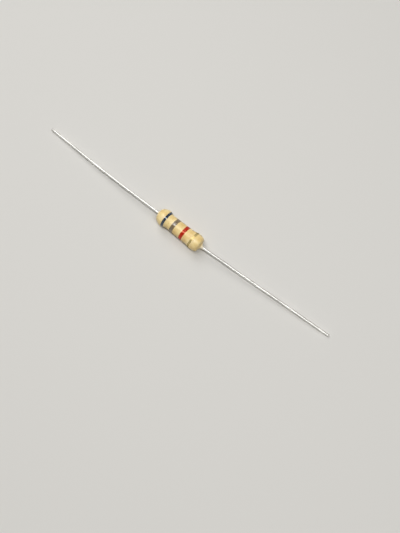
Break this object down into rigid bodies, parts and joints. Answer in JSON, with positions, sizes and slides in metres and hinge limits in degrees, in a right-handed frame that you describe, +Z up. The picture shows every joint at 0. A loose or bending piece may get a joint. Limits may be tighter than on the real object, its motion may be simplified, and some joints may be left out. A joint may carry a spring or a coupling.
{
  "type": "axial film resistor",
  "caption": "Axial resistor with tan coated body, colour bands and a tinned wire lead at each end, laid on a surface as a loose part.",
  "frame": {"origin": "middle of the body's length, straight below its axis, on the surface that the resistor lies on", "axes": "+X along the body from the first digit's band towards the tolerance band, +Y sideways, +Z up"},
  "size_m": [0.0614, 0.0036, 0.0032],
  "materials": {
    "rod_ceramic": "fine-ground white ceramic",
    "resistive_carbon": "dull black carbon film",
    "plated_steel": "pressed and tin plated",
    "tinned_wire": "drawn copper wire, hot tinned, satin bright",
    "epoxy_coating": "glossy tan epoxy, flowed on in several coats",
    "blue_paint": "dark blue paint with a gloss",
    "grey_paint": "warm grey paint with a gloss",
    "red_paint": "red paint with a gloss",
    "gold_paint": "gold paint with metal flakes"
  },
  "bodies": {
    "root": {"ceramic_rod": "rod_ceramic", "carbon_film": "resistive_carbon", "end_cap_left": "plated_steel", "end_cap_right": "plated_steel", "lead_left": "tinned_wire", "lead_right": "tinned_wire", "coating": "epoxy_coating", "first_digit_band": "blue_paint", "second_digit_band": "grey_paint", "multiplier_band": "red_paint", "tolerance_band": "gold_paint"}
  },
  "joints": []
}
